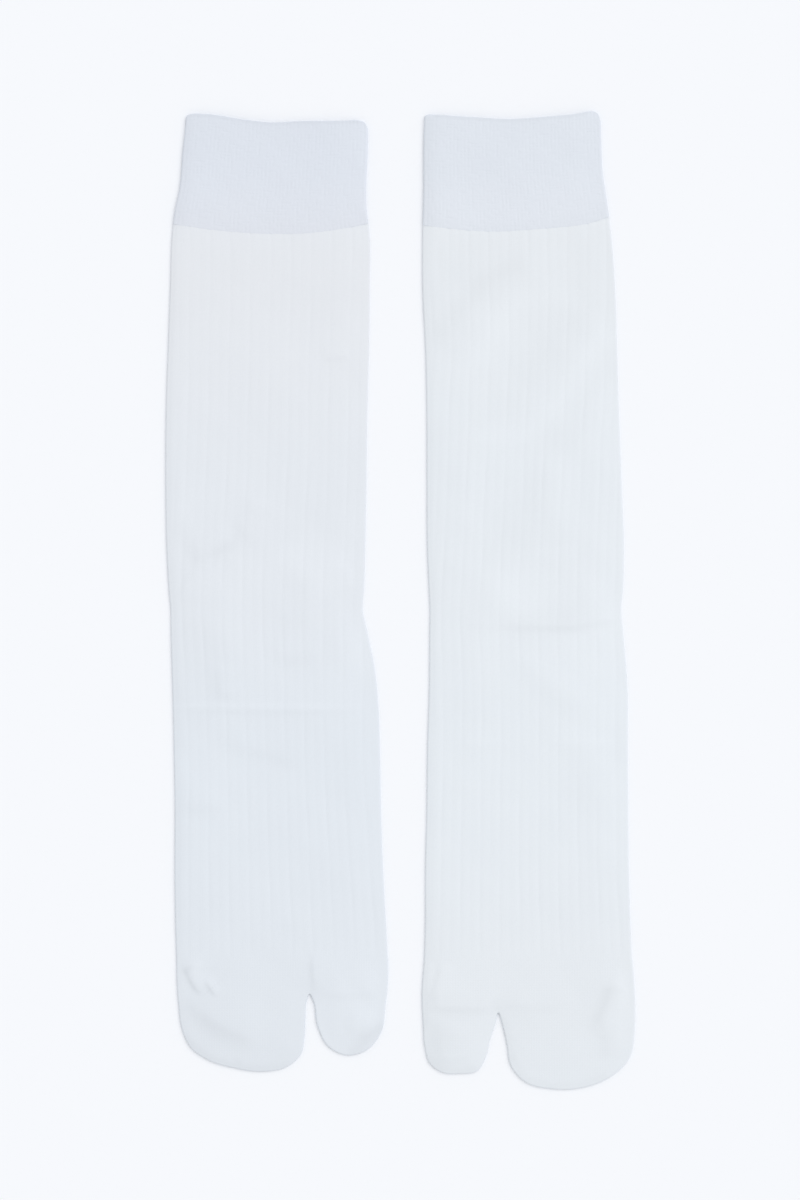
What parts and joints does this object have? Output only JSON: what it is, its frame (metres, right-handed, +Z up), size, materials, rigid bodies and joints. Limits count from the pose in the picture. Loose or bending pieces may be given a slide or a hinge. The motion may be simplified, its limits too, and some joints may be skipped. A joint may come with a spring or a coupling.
{
  "type": "pair of tabi socks",
  "caption": "Knitted split-toe socks laid flat side by side, with a fine ribbed cuff, a wide-ribbed leg and foot, and a plain toe pocket divided for a sandal's thong.",
  "frame": {"origin": "middle of the pair's outline, on the surface that the socks lie on", "axes": "+X to the right across both socks, +Y along the socks towards the cuffs, +Z up out of the insteps"},
  "size_m": [0.2064, 0.4299, 0.0057],
  "materials": {
    "cuff_rib": "fine elastic rib knit, white cotton, matt",
    "wide_rib": "wide rib knit, white cotton, matt",
    "plain_jersey": "plain jersey knit, white cotton, matt"
  },
  "bodies": {
    "root": {"left_cuff": "cuff_rib", "left_leg": "wide_rib", "left_heel": "plain_jersey", "left_toes": "plain_jersey", "right_cuff": "cuff_rib", "right_leg": "wide_rib", "right_heel": "plain_jersey", "right_toes": "plain_jersey"}
  },
  "joints": []
}
